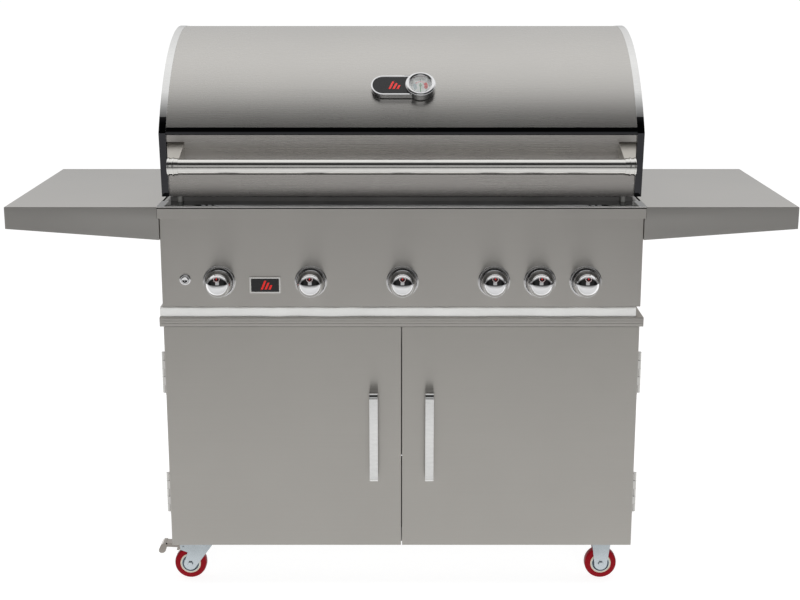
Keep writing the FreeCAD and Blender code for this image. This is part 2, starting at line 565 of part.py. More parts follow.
def burners():
    """Five tube burners, fed through the firebox front, and the rear burner's box on the back rail."""
    tubes = []
    for x in BURNER_X:
        tube = rod_y(x, 84, 505, KNOB_Z, 16).cut(rod_y(x, 82, 503, KNOB_Z, 14.5))
        neck = turned_y([(8.5, 55), (12.0, 55), (12.0, 78), (16, 86), (14.5, 86), (10.5, 79), (10.5, 57)],
                        x, 0, KNOB_Z)
        foot = box(x - 3, x + 3, 488, 500, 696, KNOB_Z - 15)
        tubes.append(fused([tube, neck, foot]))
    save("burners", tubes)
    base = SILL_TOP - 2
    case = box(-400, 400, 517, 540, base, base + 88)
    case = case.cut(box(-388, 388, 510, 534, base + 10, base + 80))
    tiles = [box(-386 + 155 * k, -386 + 155 * k + 152, 526, 534, base + 12, base + 78) for k in range(5)]
    save("rear_burner", [case] + tiles)


def heat_tents():
    """Folded sheet tents over the burners."""
    tents = []
    for x in BURNER_X:
        outer = [(x - 72, TENT_REST + 2), (x, TENT_REST + 30), (x + 72, TENT_REST + 2),
                 (x + 72, TENT_REST), (x, TENT_REST + 28), (x - 72, TENT_REST)]
        tents.append(front_prism(outer, FIREBOX_FRONT + 6, REAR - 6))
    save("heat_tents", tents)


def grate(x0, x1, d0, d1, z, pitch, r, cross):
    """Welded rod grate: rods front to back on cross rods, ending in two side rods."""
    count = int((x1 - x0 - 2 * r) // pitch)
    step = (x1 - x0 - 2 * r) / count
    rods = [rod_y(x0 + r + step * k, d0, d1, z, r) for k in range(count + 1)]
    rods += [rod_x(x0 + r, x1 - r, d, z - r * 1.2, r) for d in cross]
    return fused(rods)


def grates():
    """Five cooking grates side by side, and the warming rack above their back half."""
    width = 2 * (HALF - 12) / 5
    z = GRATE_TOP - GRATE_ROD_R
    cross = (FIREBOX_FRONT + 14, FIREBOX_FRONT + 170, REAR - 170, REAR - 14)
    sections = [grate(-HALF + 12 + width * k + 1, -HALF + 12 + width * (k + 1) - 1,
                      FIREBOX_FRONT + 5, REAR - 5, z, 17.0, GRATE_ROD_R, cross) for k in range(5)]
    save("cooking_grates", sections)
    rack_z, r = 1012.0, 3.0
    frame = [rod_x(-480, 480, d, rack_z, r) for d in (385, 450, 505)]
    bars = [rod_y(-480 + 30 * k, 385, 505, rack_z + 2, 2.2) for k in range(33)]
    legs = []
    for s in (-1, 1):
        for d in (385, 505):
            legs.append(rod_z(s * 480, d, SILL_TOP + 1.2, rack_z, r))
            legs.append(rod_x(s * 480, s * 524, d, SILL_TOP + 1.2, r))
            legs.append(Part.makeSphere(r, Vector(s * 480, depth(d), SILL_TOP + 1.2)))
    save("warming_rack", [fused(frame + bars + legs)])


def drip_tray():
    """Shallow tray under the burners. It draws out to the back by its turned-up lip."""
    pan = tray(-455, 455, 80, REAR - 4, RAIL_TOP + 4, RAIL_TOP + 30, SHEET, "top")
    lip = box(-455, 455, REAR - 4 - SHEET, REAR + 3, RAIL_TOP + 28, RAIL_TOP + 30)
    pull = box(-70, 70, REAR + 1, REAR + 3, RAIL_TOP + 12, RAIL_TOP + 30)
    save("drip_tray", [fused([pan, lip, pull])])


# ---------------------------------------------------------------- hood
GAUGE_ANGLE = math.radians(134.4)   # direction of the thermometer from the rolled top's centre
GAUGE_X = 42.0
GAUGE_R = 33.5
PLATE_LEFT = -68.0
PLATE_HALF = 27.5
PLATE_T = 13.0
DIAL_R = 23.0
LINER_INSET = 26.0
HANDLE_BAR = (-15.0, 991.0)
HANDLE_BAR_R = 17.0
BRACKET_X = (478.0, 517.0)   # width of each handle bracket on the hood
FERRULE_X = 483.5       # inner end of each handle bracket's ferrule
HANDLE_END = 507.0      # outer end of each handle bracket's ferrule
HANDLE_SOCKET = 496.0   # the bar reaches this far into each ferrule


def arc_point(inset, angle):
    """Point on the rolled top, inset from its outer surface, at an angle from the depth axis."""
    r = HOOD_ARC_R - inset
    return HOOD_ARC_C[0] + r * math.cos(angle), HOOD_ARC_C[1] + r * math.sin(angle)


def yz(d, z):
    return Vector(0, depth(d), z)


def roll_edges(inset, start_z, end_z):
    """Rolled top's curve at an inset: from height start_z on the arc, over the shoulder, down to end_z."""
    r = HOOD_ARC_R - inset
    start = math.pi - math.asin((start_z - HOOD_ARC_C[1]) / r)
    shoulder_d = HOOD_REAR - HOOD_SHOULDER_R
    reach = HOOD_ARC_R - HOOD_SHOULDER_R
    turn = math.acos((shoulder_d - HOOD_ARC_C[0]) / reach)
    shoulder_z = HOOD_ARC_C[1] + reach * math.sin(turn)
    small = HOOD_SHOULDER_R - inset
    first = Part.Arc(yz(*arc_point(inset, start)), yz(*arc_point(inset, (start + turn) / 2)),
                     yz(*arc_point(inset, turn)))
    second = Part.Arc(yz(*arc_point(inset, turn)),
                      yz(shoulder_d + small * math.cos(turn / 2), shoulder_z + small * math.sin(turn / 2)),
                      yz(shoulder_d + small, shoulder_z))
    drop = Part.LineSegment(yz(shoulder_d + small, shoulder_z), yz(shoulder_d + small, end_z))
    return [Part.Edge(first), Part.Edge(second), Part.Edge(drop)]


def ends(edges):
    """First and last point of a chain of edges made in order."""
    return edges[0].valueAt(edges[0].FirstParameter), edges[-1].valueAt(edges[-1].LastParameter)


def line_through(points):
    return Part.makePolygon(points).Edges


def rolled_sheet(outer, inner, start_z, end_z, front):
    """Sheet between two insets over the roll. front gives the outline from the roll's foot and back."""
    near, far = roll_edges(outer, start_z, end_z), roll_edges(inner, start_z, end_z)
    a0, a1 = ends(near)
    b0, b1 = ends(far)
    edges = near + line_through([a1, b1]) + far + line_through([b0] + [yz(*p) for p in front] + [a0])
    return Part.Face(Part.Wire(Part.__sortEdges__(edges)))


def extruded(face, x0, x1):
    face.translate(Vector(min(x0, x1), 0, 0))
    return face.extrude(Vector(abs(x1 - x0), 0, 0))


def gauge_axis():
    """Point on the hood's surface under the thermometer, and the outward normal there."""
    d, z = arc_point(0, GAUGE_ANGLE)
    return Vector(GAUGE_X, depth(d), z), Vector(0, math.cos(GAUGE_ANGLE), math.sin(GAUGE_ANGLE))


def gauge_rod(start, length, r):
    """Cylinder on the thermometer's axis, from start above the hood's surface."""
    base, normal = gauge_axis()
    return Part.makeCylinder(r, length, base + normal * start, normal)


def hood_front_depth(z):
    """Depth of the outer sheet's flat front at a height between the bottom edge and the fold."""
    top = HOOD_ARC_C[0] - math.sqrt((HOOD_ARC_R - 1) ** 2 - (HOOD_CREASE - HOOD_ARC_C[1]) ** 2)
    share = (z - HOOD_BOTTOM) / (HOOD_FOLD - HOOD_BOTTOM)
    return HOOD_RECESS + HOOD_FRONT_LOW + (top - HOOD_FRONT_LOW) * share


def hood_skin():
    """Outer sheet: the flat recessed front, the fold under the crease, and the rolled top."""
    half = HALF - END_CAP_W
    low_d, high_d = hood_front_depth(HOOD_BOTTOM), hood_front_depth(HOOD_FOLD)
    front = [(high_d + SHEET, HOOD_FOLD + SHEET), (low_d + SHEET, HOOD_BOTTOM + SHEET),
             (low_d + 18, HOOD_BOTTOM + SHEET), (low_d + 18, HOOD_BOTTOM), (low_d, HOOD_BOTTOM),
             (high_d, HOOD_FOLD), (high_d - HOOD_RECESS, HOOD_FOLD)]
    skin = extruded(rolled_sheet(1, 3, HOOD_CREASE, HOOD_REAR_EDGE, front), -half, half)
    save("hood_skin", [skin.cut(gauge_rod(-8, 16, 5.0))])


def hood_liner():
    """Inner sheet, which leaves an air gap under the outer one and closes it at the bottom edge."""
    half = HALF - SHEET
    inset = LINER_INSET
    start_z = HOOD_CREASE
    foot = [(HOOD_FRONT_LOW + inset + 1.5, HOOD_BOTTOM), (HOOD_FRONT_LOW + inset, HOOD_BOTTOM)]
    liner = extruded(rolled_sheet(inset, inset + 1.5, start_z, HOOD_REAR_EDGE, foot), -half, half)
    save("hood_liner", [liner.cut(gauge_rod(-LINER_INSET - 6, 12, 5.0))])


def hood_end_caps():
    """Pressed end caps: a flat side with a polished rim that frames the sheets between them."""
    pd, pz = HOOD_PIVOT
    ear_r = 15.0

    def outline(inset):
        roll = roll_edges(inset, HOOD_CREASE, HOOD_REAR_EDGE)
        start, end = ends(roll)
        chin = yz(HOOD_FRONT_LOW + inset, HOOD_BOTTOM)
        bow = ear_r * math.sqrt(0.5)
        heel = Part.Edge(Part.Arc(yz(pd + ear_r, pz), yz(pd + bow, pz - bow), yz(pd, pz - ear_r)))
        foot = line_through([yz(pd, pz - ear_r), yz(HOOD_FRONT_LOW + 20, HOOD_BOTTOM), chin, start])
        edges = roll + line_through([end, yz(pd + ear_r, pz)]) + [heel] + foot
        return Part.Face(Part.Wire(Part.__sortEdges__(edges)))

    plate = extruded(outline(0), HALF - SHEET, HALF)
    rim = extruded(outline(0), HALF - END_CAP_W, HALF)
    inner = extruded(outline(2.5), HALF - END_CAP_W - 1, HALF - SHEET)
    below = box(HALF - 30, HALF - SHEET, HOOD_FRONT_LOW + 2.5, HOOD_REAR - 2.5,
                HOOD_BOTTOM - 5, HOOD_REAR_EDGE)
    cap = fused([plate, rim.cut(inner).cut(below)])
    cap = cap.cut(rod_x(HALF - 30, HALF + 5, pd, pz, PIVOT_R + RUNNING))
    save("hood_end_caps", [cap, mirrored(cap)])


def hood_handle():
    """Round bar between two tapered brackets on the hood's flat front."""
    bar = rod_x(-HANDLE_SOCKET, HANDLE_SOCKET, HANDLE_BAR[0], HANDLE_BAR[1], HANDLE_BAR_R)
    save("hood_handle_bar", [bar])
    base = [(BRACKET_X[0], 976.0), (BRACKET_X[1], 976.0), (BRACKET_X[1], 1037.0), (BRACKET_X[0], 1037.0)]
    tip = [(FERRULE_X, 980.0), (HANDLE_END, 980.0), (HANDLE_END, 1006.0), (FERRULE_X, 1006.0)]
    at_hood = [Vector(x, depth(hood_front_depth(z)), z) for x, z in base]
    at_bar = [Vector(x, depth(HANDLE_BAR[0] + 3), z) for x, z in tip]
    wires = [Part.makePolygon(points + points[:1]) for points in (at_hood, at_bar)]
    arm = Part.makeLoft(wires, True, True)
    ferrule = rod_x(FERRULE_X, HANDLE_END, HANDLE_BAR[0], HANDLE_BAR[1], HANDLE_BAR_R + 1.5)
    socket = rod_x(470, HANDLE_SOCKET, HANDLE_BAR[0], HANDLE_BAR[1], HANDLE_BAR_R)
    bracket = fused([arm, ferrule]).cut(socket)
    save("hood_handle_brackets", [bracket, mirrored(bracket)])


def gauge():
    """Thermometer on a chromed plate: plate with its ring, dial with probe, needle and glass."""
    base, normal = gauge_axis()
    up = Vector(0, -math.sin(GAUGE_ANGLE), math.cos(GAUGE_ANGLE)) * -1
    lift = 0.5
    left = PLATE_LEFT + PLATE_HALF
    bar = Part.makeBox(GAUGE_X - left, 2 * PLATE_HALF, PLATE_T)
    frame = FreeCAD.Placement(base + normal * lift, FreeCAD.Rotation(Vector(1, 0, 0), up, normal, "XYZ"))
    bar.translate(Vector(left - GAUGE_X, -PLATE_HALF, 0))
    cap = Part.makeCylinder(PLATE_HALF, PLATE_T, Vector(left - GAUGE_X, 0, 0))
    ring = Part.makeCylinder(GAUGE_R, PLATE_T + 4)
    plate = fused([bar, cap, ring])
    floor = PLATE_T - 1.2
    border = 3.5
    inset = Part.makeBox(GAUGE_X - left, 2 * (PLATE_HALF - border), 2,
                         Vector(left - GAUGE_X, border - PLATE_HALF, floor))
    panel = Part.makeCylinder(PLATE_HALF - border, 2, Vector(left - GAUGE_X, 0, floor))
    panel = fused([panel, inset]).cut(Part.makeCylinder(GAUGE_R, 30))
    well = Part.makeCylinder(DIAL_R + 2, 30, Vector(0, 0, 6))
    plate = plate.cut(panel).cut(well).cut(Part.makeCylinder(5, 10))
    dial = fused([Part.makeCylinder(DIAL_R + 2, 3, Vector(0, 0, 6)),
                  Part.makeCylinder(2.5, 96, Vector(0, 0, -90)),
                  Part.makeCylinder(4.8, 12, Vector(0, 0, -6))])
    pin = Part.makeCylinder(1.0, 3.5, Vector(0, 0, 9))
    needle = fused([Part.makeCylinder(2.6, 0.8, Vector(0, 0, 10.5)),
                    Part.makeBox(1.6, 24, 0.8, Vector(-0.8, -18, 10.5))])
    needle = needle.cut(Part.makeCylinder(1.0 + RUNNING, 5, Vector(0, 0, 9)))
    lens = Part.makeCylinder(DIAL_R + 2, 2, Vector(0, 0, 13.5))
    for name, solid in (("gauge_plate", plate), ("gauge_dial", fused([dial, pin])),
                        ("gauge_needle", needle), ("gauge_lens", lens)):
        solid.Placement = frame.multiply(solid.Placement)
        save(name, [solid])


def assembly_bolts():
    """Two hood pivot bolts and the sixteen caster bolts."""
    pd, pz = HOOD_PIVOT
    shank = rod_x(HALF - 28, HALF + 1, pd, pz, PIVOT_R)
    head = rod_x(HALF + 0.4, HALF + 4, pd, pz, 8.5)
    nut = rod_x(HALF - 30, HALF - 25.5, pd, pz, 8.0)
    pivot = fused([shank, head, nut])
    bolts = [pivot, mirrored(pivot)]
    for x, d in caster_bolt_places():
        bolt = fused([rod_z(x, d, CART_BOTTOM - 8, CART_BOTTOM + 7, 3.9),
                      rod_z(x, d, CART_BOTTOM + SHEET, CART_BOTTOM + 7, BOLT_HEAD_R),
                      rod_z(x, d, CART_BOTTOM - 8, CART_BOTTOM - 3, BOLT_HEAD_R)])
        bolts.append(bolt)
    save("assembly_bolts", bolts)


def main():
    cart_side_panels()
    cart_rear_panel()
    cart_floor()
    cart_face_frame()
    cart_top_frame()
    ledge_gasket()
    side_shelves()
    doors()
    casters()
    firebox()
    front_sill()
    control_panel()
    panel_bezels()
    valves()
    knobs()
    ignition_button()
    hood_bumpers()
    burners()
    heat_tents()
    grates()
    drip_tray()
    hood_skin()
    hood_liner()
    hood_end_caps()
    hood_handle()
    gauge()
    assembly_bolts()


main()
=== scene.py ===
"""Looks of the gas barbecue grill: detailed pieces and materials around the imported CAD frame, in metres."""
import json
import math

import bmesh
import bpy
from mathutils import Matrix, Vector, noise


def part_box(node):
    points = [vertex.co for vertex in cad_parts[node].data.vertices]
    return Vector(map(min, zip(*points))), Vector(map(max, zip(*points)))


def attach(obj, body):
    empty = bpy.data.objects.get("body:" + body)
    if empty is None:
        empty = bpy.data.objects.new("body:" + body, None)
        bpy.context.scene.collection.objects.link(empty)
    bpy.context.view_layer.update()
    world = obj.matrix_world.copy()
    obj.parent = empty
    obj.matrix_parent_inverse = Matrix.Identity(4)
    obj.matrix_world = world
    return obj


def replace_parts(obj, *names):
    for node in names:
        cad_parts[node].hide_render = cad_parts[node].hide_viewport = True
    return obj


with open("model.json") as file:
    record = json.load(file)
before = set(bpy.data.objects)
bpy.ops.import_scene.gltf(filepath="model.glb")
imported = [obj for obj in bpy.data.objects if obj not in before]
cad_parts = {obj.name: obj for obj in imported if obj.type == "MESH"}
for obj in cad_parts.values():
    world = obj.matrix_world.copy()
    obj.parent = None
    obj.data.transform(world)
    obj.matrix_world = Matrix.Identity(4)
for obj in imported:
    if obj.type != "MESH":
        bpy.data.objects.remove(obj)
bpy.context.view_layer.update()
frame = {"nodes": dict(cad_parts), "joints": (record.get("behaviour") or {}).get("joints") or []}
MM = 0.001


# ---------------------------------------------------------------- places read from the frame
PANEL_LOW, PANEL_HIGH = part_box("control_panel")
FRONT = PANEL_LOW.y - 5 * MM          # the sill's front face
HALF = PANEL_HIGH.x
HOOD_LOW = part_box("hood_skin")[0]
CREASE = HOOD_LOW.z + 143 * MM         # height of the fold across the hood's front
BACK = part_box("firebox")[1].y
JOINTS = {j["name"]: j for j in frame["joints"]}


def joint_place(name):
    return Vector(JOINTS[name]["pos_m"])


# ---------------------------------------------------------------- node materials
def new_material(name, color, rough, metallic=1.0):
    material = bpy.data.materials.new(name)
    material.use_nodes = True
    shader = material.node_tree.nodes["Principled BSDF"]
    shader.inputs["Base Color"].default_value = (*color, 1)
    shader.inputs["Roughness"].default_value = rough
    shader.inputs["Metallic"].default_value = metallic
    return material, material.node_tree.nodes, material.node_tree.links, shader


def noise_field(nodes, links, scale, detail=3.0, rough=0.6, stretch=(1, 1, 1)):
    """Noise over the object's own coordinates, stretched along the axes."""
    where = nodes.new("ShaderNodeTexCoord")
    mapping = nodes.new("ShaderNodeMapping")
    mapping.inputs["Scale"].default_value = stretch
    field = nodes.new("ShaderNodeTexNoise")
    field.inputs["Scale"].default_value = scale
    field.inputs["Detail"].default_value = detail
    field.inputs["Roughness"].default_value = rough
    links.new(where.outputs["Object"], mapping.inputs["Vector"])
    links.new(mapping.outputs["Vector"], field.inputs["Vector"])
    return field.outputs["Fac"]


def spread(nodes, links, source, low, high, start=0.3, end=0.7):
    """Map Range node from a noise value to low..high."""
    ranged = nodes.new("ShaderNodeMapRange")
    ranged.inputs["From Min"].default_value = start
    ranged.inputs["From Max"].default_value = end
    ranged.inputs["To Min"].default_value = low
    ranged.inputs["To Max"].default_value = high
    links.new(source, ranged.inputs["Value"])
    return ranged.outputs["Result"]


def summed(nodes, links, first, second):
    add = nodes.new("ShaderNodeMath")
    add.operation = "ADD"
    links.new(first, add.inputs[0])
    links.new(second, add.inputs[1])
    return add.outputs["Value"]


def product(nodes, links, first, second):
    times = nodes.new("ShaderNodeMath")
    times.operation = "MULTIPLY"
    links.new(first, times.inputs[0])
    links.new(second, times.inputs[1])
    return times.outputs["Value"]


def tinted(nodes, links, color, factor):
    """The colour multiplied by a grey factor."""
    mix = nodes.new("ShaderNodeVectorMath")
    mix.operation = "SCALE"
    mix.inputs[0].default_value = color
    links.new(factor, mix.inputs["Scale"])
    return mix.outputs["Vector"]


def bumped(nodes, links, shader, height, strength, distance):
    bump = nodes.new("ShaderNodeBump")
    bump.inputs["Strength"].default_value = strength
    bump.inputs["Distance"].default_value = distance
    links.new(height, bump.inputs["Height"])
    links.new(bump.outputs["Normal"], shader.inputs["Normal"])


GRAIN = {"X": (3, 700, 700), "Y": (700, 3, 700), "Z": (700, 700, 3)}


def brushed(name, color, rough=0.30, axis="X", anisotropy=0.7, contrast=0.03, smudge=0.012):
    """Brushed sheet: fine lines along an axis, uneven shine, and reflections drawn out across the grain."""
    material, nodes, links, shader = new_material(name, color, rough)
    lines = noise_field(nodes, links, 1.0, 4.0, 0.7, GRAIN[axis])
    clouds = noise_field(nodes, links, 3.2, 3.0, 0.55)
    shine = summed(nodes, links, spread(nodes, links, lines, -0.012, 0.012),
                   spread(nodes, links, clouds, rough - smudge, rough + smudge))
    links.new(shine, shader.inputs["Roughness"])
    tone = summed(nodes, links, spread(nodes, links, lines, -contrast / 2, contrast / 2),
                  spread(nodes, links, clouds, 0.97, 1.03))
    links.new(tinted(nodes, links, color, tone), shader.inputs["Base Color"])
    bumped(nodes, links, shader, lines, 0.006, 0.0001)
    shader.inputs["Anisotropic"].default_value = anisotropy
    tangent = nodes.new("ShaderNodeTangent")
    tangent.direction_type = "RADIAL"
    tangent.axis = axis
    links.new(tangent.outputs["Tangent"], shader.inputs["Tangent"])
    return material


def polished(name, color, rough=0.05, wear=0.04, scale=9.0):
    """Mirror metal with faint polishing haze and hairlines."""
    material, nodes, links, shader = new_material(name, color, rough)
    haze = noise_field(nodes, links, scale, 4.0, 0.6)
    links.new(spread(nodes, links, haze, rough, rough + wear, 0.45, 0.75), shader.inputs["Roughness"])
    hairs = noise_field(nodes, links, 60.0, 2.0, 0.5, (1, 6, 3))
    tone = spread(nodes, links, hairs, 0.97, 1.03)
    links.new(tinted(nodes, links, color, tone), shader.inputs["Base Color"])
    bumped(nodes, links, shader, haze, 0.02, 0.0004)
    return material


def dull(name, color, rough, metallic=0.0, grain=300.0, bump=0.15, vary=0.12, gloss=0.5):
    """Satin or matt surface with a fine texture and slight mottling."""
    material, nodes, links, shader = new_material(name, color, rough, metallic)
    shader.inputs["Specular IOR Level"].default_value = gloss
    fine = noise_field(nodes, links, grain, 3.0)
    broad = noise_field(nodes, links, 14.0, 3.0)
    links.new(spread(nodes, links, broad, rough - 0.06, rough + 0.08), shader.inputs["Roughness"])
    tone = summed(nodes, links, spread(nodes, links, fine, -vary / 4, vary / 4),
                  spread(nodes, links, broad, 1 - vary / 2, 1 + vary / 2))
    links.new(tinted(nodes, links, color, tone), shader.inputs["Base Color"])
    bumped(nodes, links, shader, fine, bump, 0.0003)
    return material


HOOD_STEEL = brushed("hood_brushed", (0.60, 0.585, 0.56), 0.27, contrast=0.018)
# A darker copy of the hood's brushed steel for the hood's lower front: painted shade.
HOOD_FRONT_PAINTED_SHADE = brushed("hood_front_brushed_painted_shade", (0.50, 0.478, 0.455), 0.27, contrast=0.014)
PANEL_STEEL = brushed("panel_brushed", (0.59, 0.568, 0.535), 0.30, anisotropy=0.92, contrast=0.02)
DOOR_STEEL = brushed("door_brushed", (0.56, 0.54, 0.505), 0.36, contrast=0.03)
SIDE_STEEL = brushed("side_brushed", (0.56, 0.545, 0.52), 0.34, axis="Y")
SHELF_STEEL = brushed("shelf_brushed", (0.54, 0.525, 0.50), 0.34, axis="Y", anisotropy=0.6)
INNER_STEEL = dull("inner_sheet", (0.45, 0.44, 0.43), 0.42, 1.0, grain=160, bump=0.05)
MIRROR_STEEL = polished("polished_trim", (0.80, 0.80, 0.79), 0.07)
CHROME = polished("chrome_plate", (0.86, 0.86, 0.87), 0.03, 0.03)
ZINC = dull("zinc_plate", (0.52, 0.57, 0.60), 0.24, 1.0, grain=220, bump=0.06)
GRATE_STEEL = dull("grate_rod", (0.45, 0.44, 0.42), 0.33, 1.0)
BURNER_STEEL = dull("burner_tube", (0.40, 0.37, 0.34), 0.45, 1.0)
BRASS = dull("valve_brass", (0.72, 0.53, 0.25), 0.30, 1.0)
CAST_ALLOY = dull("die_cast", (0.52, 0.52, 0.53), 0.50, 1.0, bump=0.3)
SATIN_STEEL = dull("satin_bracket", (0.58, 0.555, 0.51), 0.36, 1.0, grain=420, bump=0.05, vary=0.05)
SATIN_CHROME = polished("satin_chrome", (0.80, 0.79, 0.76), 0.13, 0.03)
HINGE_STEEL = polished("hinge_steel", (0.66, 0.65, 0.63), 0.12, 0.05)
PEDAL_STEEL = polished("pedal_steel", (0.38, 0.35, 0.32), 0.10, 0.06, 40.0)
# Near-white rough metal for the sill's top front edge: a painted highlight line.
PAINTED_HIGHLIGHT_EDGE = polished("edge_painted_highlight", (0.92, 0.91, 0.89), 0.55, 0.05)
# Polished metal coloured near black: the black is a painted dark reflection on the sill's top, the strip
# above the crease and the trims' lower fronts.
PAINTED_DARK_REFLECTION = polished("polished_painted_dark_reflection", (0.06, 0.06, 0.065), 0.05, 0.02)
BLACK_GLOSS = dull("black_enamel", (0.012, 0.012, 0.013), 0.16, grain=500, bump=0.02)
GREY_RUBBER = dull("grey_rubber", (0.22, 0.22, 0.21), 0.5)
RED_TREAD = dull("red_polyurethane", (0.26, 0.002, 0.008), 0.34, grain=260, bump=0.10, gloss=0.12)
BEIGE_CORE = dull("nylon_core", (0.62, 0.56, 0.44), 0.45)
FIBRE = dull("white_fibre", (0.88, 0.88, 0.86), 0.90, grain=700, bump=0.5, vary=0.06)
RED_ENAMEL = dull("red_enamel", (0.62, 0.012, 0.012), 0.28, grain=500, bump=0.02)
GREEN_ENAMEL = dull("green_enamel", (0.03, 0.26, 0.08), 0.35, grain=500, bump=0.02)
WHITE_ENAMEL = dull("white_enamel", (0.86, 0.86, 0.84), 0.35, grain=500, bump=0.02, vary=0.04)
RED_GLOW = dull("red_mark", (0.85, 0.02, 0.015), 0.30, grain=500, bump=0.02, vary=0.06)
PINK_ENAMEL = dull("pink_enamel", (0.72, 0.25, 0.27), 0.35, grain=500, bump=0.02, vary=0.06)
COOL_ENAMEL = dull("blue_grey_enamel", (0.50, 0.58, 0.60), 0.35, grain=500, bump=0.02, vary=0.06)
PALE_ENAMEL = dull("pale_pink_enamel", (0.80, 0.62, 0.62), 0.22, grain=500, bump=0.02, vary=0.06)
CERAMIC = dull("burner_ceramic", (0.62, 0.58, 0.50), 0.85, grain=900, bump=0.6)


def glass(name):
    """Clear dial glass."""
    material, nodes, links, shader = new_material(name, (0.97, 0.98, 0.98), 0.02, 0.0)
    shader.inputs["Transmission Weight"].default_value = 1.0
    shader.inputs["IOR"].default_value = 1.45
    film = noise_field(nodes, links, 40.0, 2.0)
    links.new(spread(nodes, links, film, 0.01, 0.05), shader.inputs["Roughness"])
    return material


DIAL_GLASS = glass("dial_glass")


# ---------------------------------------------------------------- building pieces
def shade(obj, angle=32):
    """Smooth shading with sharp edges above an angle."""
    bm = bmesh.new()
    bm.from_mesh(obj.data)
    for face in bm.faces:
        face.smooth = True
    for edge in bm.edges:
        edge.smooth = len(edge.link_faces) == 2 and edge.calc_face_angle(0) < math.radians(angle)
    bm.to_mesh(obj.data)
    bm.free()
    return obj


def link(name, mesh, body, materials):
    obj = bpy.data.objects.new(name, mesh)
    bpy.context.scene.collection.objects.link(obj)
    for material in materials:
        mesh.materials.append(material)
    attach(obj, body)
    return obj


def from_bmesh(name, bm, body, materials, angle=32):
    bmesh.ops.recalc_face_normals(bm, faces=bm.faces)
    mesh = bpy.data.meshes.new(name)
    bm.to_mesh(mesh)
    bm.free()
    return shade(link(name, mesh, body, materials), angle)


def rounded(obj, width, segments=2, angle=40):
    """Bevel modifier on the sharp edges, with the flat faces kept flat."""
    bevel = obj.modifiers.new("rounded edges", "BEVEL")
    bevel.width = width
    bevel.segments = segments
    bevel.limit_method = "ANGLE"
    bevel.angle_limit = math.radians(angle)
    bevel.harden_normals = True
    return obj


def refined(node, body, materials, width=0.8 * MM, segments=2, choose=None, angle=40, level=None):
    """A copy of a CAD node with merged flat faces and rounded edges.

    choose gives a face's material index. level is a height at which faces are split in two.
    """
    bm = bmesh.new()
    bm.from_mesh(frame["nodes"][node].data)
    bmesh.ops.remove_doubles(bm, verts=bm.verts, dist=1e-6)
    bmesh.ops.dissolve_limit(bm, angle_limit=math.radians(0.4), verts=bm.verts, edges=bm.edges)
    if level:
        everything = bm.verts[:] + bm.edges[:] + bm.faces[:]
        bmesh.ops.bisect_plane(bm, geom=everything, plane_co=(0, 0, level), plane_no=(0, 0, 1))
    bm.normal_update()
    for face in bm.faces:
        face.material_index = choose(face) if choose else 0
    mesh = bpy.data.meshes.new(node + "_finished")
    bm.to_mesh(mesh)
    bm.free()
    obj = shade(link(node + "_finished", mesh, body, materials))
    if width:
        rounded(obj, width, segments, angle)
    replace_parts(obj, node)
    return obj


def basis(axis):
    """Matrix whose third column is the axis."""
    return Vector(axis).to_track_quat("Z", "Y").to_matrix().to_4x4()


def lathe_into(bm, outline, place, axis, segments=64, index=0):
    """Turns an outline of (radius, offset along axis) points round an axis. Radius 0 closes an end."""
    turn = Matrix.Translation(place) @ basis(axis)
    rings = []
    for radius, offset in outline:
        if radius < 1e-7:
            rings.append([bm.verts.new(turn @ Vector((0, 0, offset)))])
            continue
        rings.append([bm.verts.new(turn @ Vector((radius * math.cos(a), radius * math.sin(a), offset)))
                      for a in (2 * math.pi * k / segments for k in range(segments))])
    for first, second in zip(rings, rings[1:]):
        for k in range(segments):
            corners = [first[k % len(first)], first[(k + 1) % len(first)],
                       second[(k + 1) % len(second)], second[k % len(second)]]
            unique = list(dict.fromkeys(corners))
            if len(unique) > 2:
                bm.faces.new(unique).material_index = index


def lathe(name, outline, place, axis, body, material, segments=64, angle=32):
    bm = bmesh.new()
    lathe_into(bm, outline, place, axis, segments)
    return from_bmesh(name, bm, body, [material], angle)


def arc(radius, start, end, steps, centre=(0, 0)):
    """Points on an arc, angles in degrees."""
    return [(centre[0] + radius * math.cos(math.radians(start + (end - start) * k / steps)),
             centre[1] + radius * math.sin(math.radians(start + (end - start) * k / steps)))
            for k in range(steps + 1)]


def closed(outline):
    return outline + outline[:1]


def prism_into(bm, outline, place, u, v, depth, index=0):
    """Solid with a polygon outline in the plane of u and v, pushed out along u x v by depth."""
    u, v = Vector(u), Vector(v)
    out = u.cross(v) * depth
    near = [bm.verts.new(place + u * a + v * b) for a, b in outline]
    far = [bm.verts.new(place + u * a + v * b + out) for a, b in outline]
    faces = [bm.faces.new(near[::-1]), bm.faces.new(far)]
    for k in range(len(near)):
        n = (k + 1) % len(near)
        faces.append(bm.faces.new([near[k], near[n], far[n], far[k]]))
    for face in faces:
        face.material_index = index


def rectangle(width, height, radius, steps):
    """Outline of a centred rectangle with round corners."""
    points = []
    for sx, sy, start in ((1, -1, -90), (1, 1, 0), (-1, 1, 90), (-1, -1, 180)):
        centre = (sx * (width / 2 - radius), sy * (height / 2 - radius))
        points += arc(radius, start, start + 90, steps, centre)
    return points


